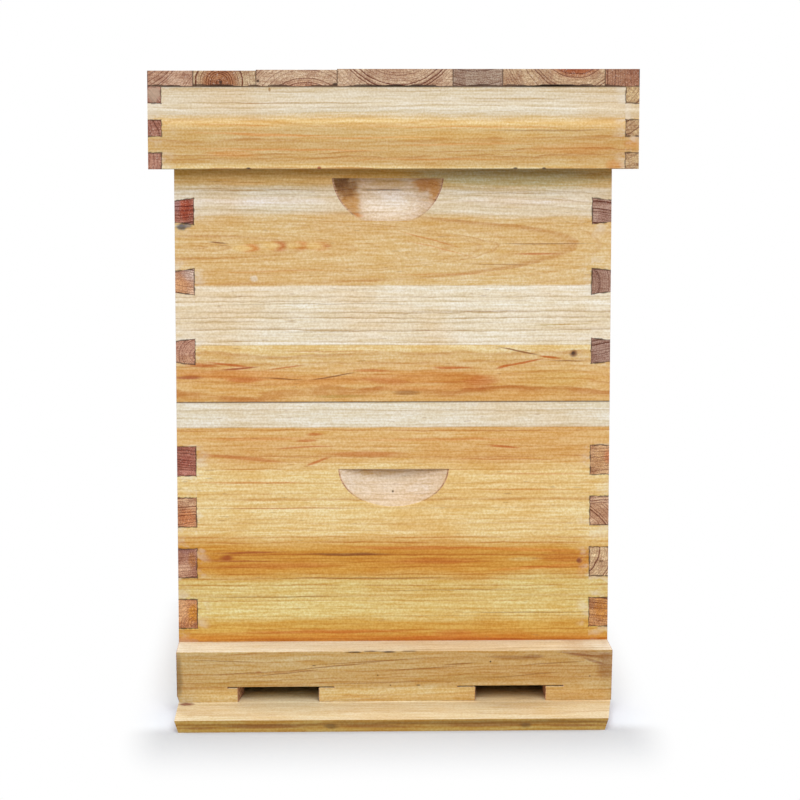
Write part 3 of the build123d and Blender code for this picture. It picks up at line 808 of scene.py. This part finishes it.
FINISHES["upper_left_board"] = side_wood(
    "upper_left_wood", SEAM, UPPER_TOP, UPPER_JOINT, 21.2,
    [(GOLD, ORANGE, STRAW), (PALE, CREAM, PALE), (STRAW, GOLD, PALE)], (0.372, 0.452),
    -HALF_WIDTH, [(0.004, 0.030), (0.30, 0.05), (-0.34, 0.02)],
    [(SEAM, srgb(200, 160, 140), srgb(196, 156, 130)), (0.372, srgb(207, 169, 142), srgb(186, 144, 118)),
     (0.438, srgb(165, 105, 93), srgb(200, 164, 138))],
    [(-60, 420, 90, 2.0, 0.02, 0.5, RUST), (120, 330, 70, 2.4, 0.0, 0.5, AMBER),
     (30, 500, 110, 1.4, -0.01, 0.45, RUST), (-150, 345, 12, 1.2, 0.0, 0.7, BROWN)],
    on_face(FRONT_FACE, 8, [
        (-194.5, 474, 9, 16, 0.75, srgb(172, 62, 36)), (-203, 478, 5, 12, 0.50, srgb(150, 120, 130)),
        (-198.5, 457.0, 7, 4.4, 0.90, SOOT), (-192.5, 458.4, 5.5, 3.6, 0.75, SOOT_PALE),
        (-200, 401, 13, 15, 0.75, srgb(198, 138, 84)), (-190, 414, 11, 11, 0.70, srgb(204, 186, 178)),
        (-196, 331, 14, 8, 0.50, srgb(200, 158, 120)),
    ]),
)
FINISHES["upper_right_board"] = side_wood(
    "upper_right_wood", SEAM, UPPER_TOP, UPPER_JOINT, 25.7,
    [(CREAM, PALE, CREAM), (GOLD, ORANGE, GOLD), (PALE, STRAW, PALE)], (0.360, 0.441),
    HALF_WIDTH, [(0.32, -0.06), (0.002, -0.024), (-0.30, -0.04)],
    [(SEAM, srgb(152, 118, 106), srgb(200, 162, 136)), (0.372, srgb(154, 122, 110), srgb(178, 136, 112)),
     (0.438, srgb(168, 136, 124), srgb(190, 150, 124))],
    [(-90, 405, 80, 2.6, -0.02, 0.55, RUST), (80, 392, 90, 2.0, 0.01, 0.5, AMBER),
     (140, 470, 60, 1.2, 0.0, 0.45, RUST), (-20, 318, 100, 1.0, 0.0, 0.35, BROWN)],
)
FINISHES["lower_left_board"] = side_wood(
    "lower_left_wood", LOWER_BASE, SEAM, LOWER_JOINT, 31.3,
    [(ORANGE, DEEP, GOLD), (STRAW, PALE, STRAW), (GOLD, STRAW, CREAM)], (0.118, 0.205),
    -HALF_WIDTH, [(0.006, 0.026), (-0.36, 0.05), (0.30, 0.03)],
    [(LOWER_BASE, srgb(190, 146, 112), srgb(190, 150, 128)), (0.062, srgb(195, 139, 97), srgb(176, 134, 108)),
     (0.112, srgb(174, 124, 104), srgb(200, 160, 134)), (0.161, srgb(194, 142, 104), srgb(172, 128, 104)),
     (0.210, srgb(160, 95, 84), srgb(190, 150, 124))],
    [(-100, 80, 100, 3.0, 0.01, 0.55, RUST), (110, 66, 80, 2.4, -0.02, 0.5, AMBER),
     (0, 160, 130, 1.0, 0.0, 0.35, BROWN), (160, 240, 50, 1.6, 0.0, 0.5, RUST)],
    on_face(FRONT_FACE, 8, [
        (-196, 223, 13, 6, 0.60, srgb(196, 132, 124)), (-197, 235, 9, 8, 0.45, srgb(150, 62, 62)),
        (-195, 196, 14, 8, 0.65, srgb(206, 172, 140)), (-196, 180, 12, 12, 0.65, srgb(198, 116, 62)),
        (-196, 150, 12, 6, 0.60, srgb(144, 98, 98)), (-191.5, 140, 5, 11, 0.65, srgb(190, 128, 60)),
        (-199, 129, 12, 11, 0.65, srgb(206, 166, 138)), (-202, 91, 8, 18, 0.65, srgb(216, 170, 126)),
        (-191, 88, 7, 13, 0.85, srgb(202, 138, 44)), (-188.5, 76.5, 6, 6, 0.75, srgb(128, 72, 54)),
    ]),
)
FINISHES["lower_right_board"] = side_wood(
    "lower_right_wood", LOWER_BASE, SEAM, LOWER_JOINT, 35.9,
    [(STRAW, GOLD, STRAW), (ORANGE, DEEP, ORANGE), (CREAM, PALE, CREAM)], (0.104, 0.192),
    HALF_WIDTH, [(-0.30, -0.05), (0.002, -0.030), (0.34, -0.04)],
    [(LOWER_BASE, srgb(186, 140, 100), srgb(190, 150, 128)), (0.062, srgb(190, 140, 92), srgb(192, 150, 124)),
     (0.112, srgb(202, 174, 138), srgb(176, 134, 108)), (0.161, srgb(204, 168, 140), srgb(194, 156, 130)),
     (0.210, srgb(195, 151, 108), srgb(186, 144, 118))],
    [(-60, 150, 110, 3.4, 0.0, 0.6, RUST), (120, 140, 80, 2.6, 0.02, 0.5, AMBER),
     (40, 60, 100, 1.0, 0.0, 0.35, BROWN), (-170, 158, 14, 1.4, 0.0, 0.7, BROWN)],
    on_face(FRONT_FACE, 8, [
        (203.5, 238, 5, 9, 0.60, srgb(206, 112, 54)), (196, 236, 9, 14, 0.40, srgb(206, 160, 102)),
        (196, 186, 13, 18, 0.50, srgb(196, 160, 122)), (195, 143, 7, 3.0, 0.75, srgb(240, 222, 180)),
        (201.5, 141, 4, 5.0, 0.75, srgb(240, 222, 180)), (198, 137, 3, 1.6, 0.75, srgb(104, 76, 48)),
        (199, 90, 10, 15, 0.70, srgb(202, 136, 50)), (189, 98, 5, 10, 0.50, srgb(150, 92, 60)),
    ]),
)

# Lid, bottom board, block, covers and frames

FINISHES["lid_front_rim"] = box_wood(
    "rim_front_wood", "X", RIM_BASE, RIM_TOP,
    [(RIM_BASE, STRAW), (0.516, RIM_GOLD), (0.546, RIM_GOLD), (0.554, WARM_AND_SHADE), (0.562, RIM_PALE), (0.568, CREAM),
     (RIM_TOP, RIM_PALE)],
    [(RIM_BASE, 0.2), (0.525, 1.0), (0.552, 0.6), (0.570, 1.0), (RIM_TOP, 0.2)],
    [(RIM_BASE, 0.440, -0.295, 0.02, 0.0062, 1.4, 0.55), (0.5590, 0.800, -0.175, 0.0, 0.0044, 0.6, 0.45)],
    LID_JOINT, 2.4,
    [(-120, 543, 84, 1.8, -0.03, 0.55, AMBER), (-20, 540, 100, 1.2, 0.01, 0.45, AMBER),
     (-90, 529, 120, 1.3, -0.01, 0.50, AMBER), (-150, 525, 34, 4.4, 0.0, 0.40, AMBER),
     (60, 550, 150, 0.9, 0.0, 0.45, AMBER), (-150, 552, 60, 0.8, -0.02, 0.45, AMBER),
     (165, 530, 60, 7.0, 0.0, 0.40, BURNT), (140, 547, 80, 1.2, 0.0, 0.45, BROWN),
     (60, 534, 90, 1.4, 0.02, 0.40, AMBER), (30, 520, 120, 1.1, 0.0, 0.40, AMBER),
     (70, 541, 110, 8.0, 0.0, 0.35, DEEP), (-100, 572, 100, 0.8, 0.0, 0.35, BROWN),
     (120, 576, 80, 0.8, 0.0, 0.35, BROWN)],
    on_face(RIM_FACE, 4, [
        (-134.8, 511.6, 3.2, 1.6, 0.9, GRIME), (-69.3, 512.2, 2.6, 1.8, 0.85, RED),
        (112.7, 511.6, 3.0, 1.4, 0.85, GRIME), (139.4, 511.6, 2.4, 1.4, 0.85, GRIME),
        (-115, 584.2, 1.4, 2.4, 0.7, BROWN), (205, 515, 11, 6, 0.60, BURNT), (220.5, 534, 11, 6, 0.50, BURNT),
    ]),
)
FINISHES["lid_back_rim"] = log_wood(
    "rim_back_wood", "X", (BACK + 0.040, 0.600), CREAM, GOLD, 42.4, ring=0.0048, heart=0.056, soft=0.005,
    ripple=1.0, joint=LID_JOINT,
    streaks=[(60, 560, 120, 1.6, 0.0, 0.6, RUST), (-120, 570, 70, 1.2, 0.01, 0.6, AMBER),
             (-60, 530, 110, 1.8, 0.0, 0.5, AMBER), (130, 528, 60, 3.0, 0.0, 0.5, BURNT)],
)
FINISHES["lid_left_rim"] = log_wood(
    "rim_left_wood", "Y", (-0.30, 0.52), PALE, GOLD, 44.1, heart=0.075, joint=LID_JOINT,
    end_tint=srgb(165, 114, 97), streaks=[(-60, 545, 140, 1.2, 0.0, 0.5, RUST)],
    marks=on_face(RIM_FACE, 8, [(-221, 580, 10, 10, 0.75, srgb(186, 162, 140))]),
)
FINISHES["lid_right_rim"] = log_wood(
    "rim_right_wood", "Y", (0.17, 0.62), CREAM, STRAW, 46.8, heart=0.06, joint=LID_JOINT,
    end_tint=srgb(188, 160, 118), streaks=[(90, 540, 110, 1.4, 0.0, 0.5, AMBER)],
)

# The lid's top, toned down as painted shade since the strongest light falls on it, then each plank: pith
# (across, up), sapwood, heartwood, ring width, heart radius and end grain tints
TOP_PALE = srgb(200, 184, 158)
TOP_STRAW = srgb(204, 178, 134)
TOP_GOLD = srgb(198, 166, 120)
TOP_ORANGE = srgb(194, 154, 104)
TOP_HEART = srgb(186, 136, 86)
LID_PLANKS = [
    ((-0.256, 0.645), TOP_GOLD, TOP_ORANGE, 0.0026, 0.060, srgb(185, 152, 130), srgb(175, 136, 112)),
    ((-0.1605, 0.5915), TOP_STRAW, TOP_ORANGE, 0.0023, 0.017, srgb(191, 168, 136), srgb(158, 107, 74)),
    ((-0.082, 0.552), TOP_GOLD, TOP_ORANGE, 0.0025, 0.040, srgb(189, 162, 136), srgb(181, 138, 111)),
    ((0.004, 0.640), TOP_STRAW, TOP_ORANGE, 0.0028, 0.036, srgb(191, 164, 138), srgb(181, 140, 113)),
    ((0.076, 0.660), TOP_PALE, TOP_GOLD, 0.0023, 0.040, srgb(153, 131, 115), srgb(149, 121, 105)),
    ((0.168, 0.628), TOP_GOLD, TOP_HEART, 0.0028, 0.032, srgb(189, 162, 131), srgb(156, 86, 53)),
    ((0.420, 0.600), TOP_GOLD, TOP_ORANGE, 0.0024, 0.205, srgb(158, 115, 92), srgb(150, 103, 82)),
]
PLANK_EDGES = (-0.2275, -0.1855, -0.1275, -0.0525, 0.0545, 0.1005, 0.1955, 0.2275)
PLANK_MARKS = {
    1: on_face(RIM_FACE, 4, [(-160, 591, 2.0, 2.2, 0.95, GRIME)]),
    2: on_face(RIM_FACE, 4, [(-125.4, 592, 1.8, 2.0, 0.95, GRIME), (-54.2, 589.2, 3.4, 2.0, 0.9, GRIME)]),
}
for i, (pith, sap, heartwood, ring, heart, end_tint, end_heart) in enumerate(LID_PLANKS):
    FINISHES[f"lid_plank_{i + 1}"] = log_wood(
        f"lid_plank_wood_{i + 1}", "Y", pith, sap, heartwood, 51.0 + 3.7 * i, ring=ring, heart=heart, late=0.75,
        wander=0.003, end_tint=end_tint, end_heart=end_heart, edges=PLANK_EDGES[i:i + 2], foot=RIM_TOP,
        marks=PLANK_MARKS.get(i, ()),
    )
FINISHES["entrance_block"] = log_wood(
    "block_wood", "X", (FRONT - 0.13, -0.16), srgb(212, 178, 122), srgb(200, 162, 104), 7.7, ring=0.0042,
    heart=0.17, soft=0.02, late=0.50, lean=0.05, ripple=1.0,
    # The top is painted lighter and the front darker, as light from above makes them: painted light and shade.
    # The underside is paler, throwing more light into the slots.
    face_tone_and_light=[("Z", 1.0, srgb(226, 211, 186), 0.9), ("Z", -1.0, srgb(238, 220, 184), 0.9),
           ("Y", -1.0, srgb(197, 168, 122), 0.8)],
    streaks=[(-60, 46, 60, 0.9, 0.10, 0.65, BROWN), (-100, 40, 40, 0.8, 0.10, 0.6, BROWN),
             (-20, 51, 70, 0.8, 0.06, 0.55, BROWN), (30, 44, 40, 0.9, 0.07, 0.6, BROWN),
             (60, 48, 20, 0.9, 0.05, 0.7, BROWN), (120, 36, 50, 0.8, 0.08, 0.55, BROWN),
             (-160, 52, 40, 0.8, -0.03, 0.55, BROWN), (150, 48, 40, 0.9, 0.06, 0.6, BROWN),
             (110, 54, 30, 3.0, -0.05, 0.45, BROWN), (-140, 40, 60, 0.7, 0.05, 0.5, BROWN),
             (0, 19, 330, 8.0, 0.0, 0.75, srgb(218, 190, 140)),
             (184, 57, 34, 6.0, -0.06, 0.45, srgb(150, 92, 58)),
             (199, 46, 12, 18.0, 0.0, 0.50, srgb(138, 84, 56)),
             (174, 56.5, 24, 1.6, -0.10, 0.60, srgb(128, 70, 44)),
             (188, 50, 14, 2.0, -0.30, 0.55, srgb(128, 70, 44)), (131, 54.5, 13, 2.6, 0.0, 0.55, BROWN),
             (0, 30, 90, 0.7, 0.02, 0.45, BROWN), (-150, 30, 50, 5.0, 0.02, 0.4, OLIVE),
             (70, 34, 60, 5.0, 0.0, 0.4, OLIVE)],
    marks=[(-38, -299, 60.1, 11, 4, 1.0, 0.9, GRIME), (-22, -299, 60.9, 9, 4, 0.8, 0.8, GRIME),
           (-6, -299, 60.2, 9, 4, 1.2, 0.9, GRIME), (14, -299, 60.7, 10, 4, 0.6, 0.7, GRIME),
           # The row at x -204 makes the block darker towards its left end.
           (-204, -295, 36, 6, 16, 32, 0.55, srgb(112, 84, 50)), (-76, -298, 47, 2.6, 6, 0.8, 0.7, GRIME),
           (-16, -296, 37, 1.1, 6, 1.1, 0.8, GRIME), (-128, -296, 41, 4.0, 6, 0.7, 0.7, RED),
           (22, -294, 27, 2.8, 6, 0.8, 0.75, GRIME), (90, -298, 50, 1.3, 6, 1.3, 0.9, GRIME),
           (184, -295, 35, 1.2, 6, 1.0, 0.7, GRIME), (-4, -295, 27, 1.0, 6, 1.0, 0.7, GRIME)],
)
FINISHES["landing_board"] = log_wood(
    "landing_wood", "X", (FRONT - 0.06, -0.25), srgb(224, 196, 152), srgb(214, 178, 126), 8.8, heart=0.1,
    # The front edge is darker than the top: partly painted shade, partly its own darker rough-sawn wood.
    late=0.50, face_tone_and_light=[("Z", 1.0, srgb(212, 193, 160), 0.85), ("Y", -1.0, srgb(174, 134, 64), 0.95)],
    streaks=[(-120, 5.4, 50, 2.6, 0.0, 0.6, BROWN), (-20, 4.8, 46, 2.2, 0.0, 0.55, BROWN),
             (80, 5.6, 60, 2.6, 0.0, 0.6, BROWN), (160, 4.6, 36, 2.0, 0.0, 0.6, BROWN),
             (-180, 3.8, 24, 2.0, 0.0, 0.6, BROWN), (90, 8.0, 230, 2.4, 0.0, 0.60, srgb(112, 78, 34)),
             (-120, 6.6, 160, 1.8, 0.0, 0.45, srgb(116, 78, 38)),
             (0, 2.2, 420, 2.0, 0.0, 0.45, srgb(196, 162, 90))],
    # The first row darkens a patch of the landing at the block's left corner.
    marks=[(-196, -298, 11, 10, 9, 5, 0.9, srgb(120, 62, 44)), (-60, LANDING_EDGE, 5, 9, 6, 3, 0.5, GRIME),
           (118, LANDING_EDGE, 5, 8, 6, 3, 0.5, GRIME)],
    # A paler band of painted light on the floor of the entrance slots, under the block.
    painted_light_band=(-0.296, -0.234, srgb(244, 227, 190)),
)
floor_wood = log_wood("floor_wood", "X", (0.05, -0.30), PALE, GOLD, 62.8, ring=0.0042, heart=0.28)
rail_wood = log_wood("rail_wood", "Y", (0.03, 0.22), PALE, GOLD, 64.5, ring=0.0036, heart=0.16)
FINISHES["bottom_left_rail"] = FINISHES["bottom_right_rail"] = rail_wood
FINISHES["bottom_rear_rail"] = log_wood(
    "rear_rail_wood", "X", (0.30, 0.20), PALE, GOLD, 66.1, ring=0.0036, heart=0.14,
)
FINISHES["inner_cover_panel"] = log_wood(
    "cover_wood", "Y", (0.04, 1.10), STRAW, ORANGE, 68.2, ring=0.0050, heart=0.57, late=0.7,
)
batten_wood = log_wood("batten_wood", "X", (0.0, 0.90), PALE, GOLD, 70.6, ring=0.0036, heart=0.3)
for name in ("lid_front_cleat", "lid_rear_cleat", "inner_cover_front_batten", "inner_cover_rear_batten"):
    FINISHES[name] = batten_wood
frame_bars = frame_bar_wood()
wax_sheet = wax()
nail_steel = steel("nail_steel", srgb(150, 150, 152), 0.8)
wire_steel = steel("wire_steel", srgb(196, 196, 198), 0.15)

for name in nodes:
    if name in FINISHES:
        dress(name, FINISHES[name], BOARD_EDGE)
    elif name.startswith("floor_plank"):
        dress(name, floor_wood, BAR_EDGE)
    elif "nails" in name:
        dress(name, nail_steel)
    elif "wires" in name:
        dress(name, wire_steel)
    elif "foundations" in name:
        dress(name, wax_sheet)
    else:
        dress(name, frame_bars, BAR_EDGE)


# Floor, light and camera

def seen_rays(tree):
    """1 for rays from the camera, also by way of a gloss, and 0 for rays that carry light to the hive."""
    path = results(node("LightPath", {}, tree))
    shiny = maths("MAXIMUM", path["Is Glossy Ray"], path["Is Transmission Ray"])
    return maths("MAXIMUM", path["Is Camera Ray"], shiny)


def studio():
    """A white floor and backdrop, with a soft shadow close round the hive and a shadow painted in grey on the
    floor in front of it.
    """
    bpy.ops.object.select_all(action="DESELECT")
    bpy.ops.mesh.primitive_plane_add(size=16.0, location=(0.0, 0.0, 0.0))
    floor = bpy.context.object
    floor.name = "studio_floor"
    made = bpy.data.materials.new("studio_floor")
    made.use_nodes = True
    tree = made.node_tree
    tree.nodes.clear()
    at = results(node("SeparateXYZ", {0: result("TexCoord", {}, "Object", tree=tree)}))
    beside, before = (
        maths("MAXIMUM", abs(at[axis] - middle) - half, 0.0) / fade
        for axis, middle, half, fade in (("X", 0.0, HALF_WIDTH, 0.05), ("Y", -0.055, 0.308, 0.18))
    )
    away = maths("SQRT", beside * beside + before * before)
    seen = seen_rays(tree)
    # Seen from the camera, the floor just in front of the landing is a darker grey: a painted shadow.
    near = mix(ease(at["Y"], -0.37, -0.33), (0.56, 0.575, 0.60, 1.0), (0.76, 0.80, 0.86, 1.0))
    matt = result("BsdfDiffuse", {"Color": mix(seen, grey(0.38), near)})
    white = result("Emission", {"Color": grey(1.0), "Strength": 1.0}, tree=tree)
    node("OutputMaterial", {0: result("MixShader", {0: ease(away, 0.0, 1.0) * seen, 1: matt, 2: white})})
    floor.data.materials.append(made)

    ambient = 0.33
    world = bpy.data.worlds.new("studio")
    bpy.context.scene.world = world
    world.use_nodes = True
    tree = world.node_tree
    tree.nodes.clear()
    strength = seen_rays(tree) * (1.0 - ambient) + ambient
    node("OutputWorld", {0: result("Background", {"Color": grey(1.0), "Strength": strength})})


def softbox(name, place, target, size, power):
    """A rectangular lamp that faces its target."""
    light = bpy.data.lights.new(name, "AREA")
    light.shape = "RECTANGLE"
    light.size, light.size_y = size
    light.energy = power
    lamp = bpy.data.objects.new(name, light)
    bpy.context.scene.collection.objects.link(lamp)
    lamp.location = place
    lamp.rotation_euler = (Vector(target) - Vector(place)).to_track_quat("-Z", "Y").to_euler()


def camera():
    """Nearly square on to the front, at lid height, looking a little down."""
    picture_pixels, focal_pixels, aside_pixels = 800.0, 2555.0, 12.6
    pitch = math.radians(6.81)
    turn = math.radians(1.3)
    distance, height = 2.400 - FRONT, 0.5794
    lens = bpy.data.cameras.new("camera")
    lens.sensor_width = 36.0
    lens.lens = lens.sensor_width * focal_pixels / picture_pixels
    lens.clip_end = 100.0
    eye = bpy.data.objects.new("camera", lens)
    bpy.context.scene.collection.objects.link(eye)
    eye.location = (-distance * math.sin(turn), -distance * math.cos(turn), height)
    eye.rotation_euler = (math.pi / 2 - pitch, 0.0, -turn - math.atan(aside_pixels / focal_pixels))
    bpy.context.scene.camera = eye


studio()
softbox("key", (0.15, -2.95, 2.15), (0.0, -0.2, 0.32), (2.8, 2.2), 82.0)
softbox("left", (-3.1, 0.7, 1.8), (0.0, 0.0, 0.3), (1.4, 1.6), 46.0)
softbox("right", (3.1, 0.7, 1.8), (0.0, 0.0, 0.3), (1.4, 1.6), 46.0)
softbox("rear", (0.0, 3.2, 1.9), (0.0, 0.2, 0.3), (2.4, 1.6), 50.0)
softbox("overhead", (0.0, -0.4, 3.2), (0.0, -0.2, 0.0), (2.2, 2.2), 35.0)
camera()
bpy.context.scene.view_settings.view_transform = "Standard"
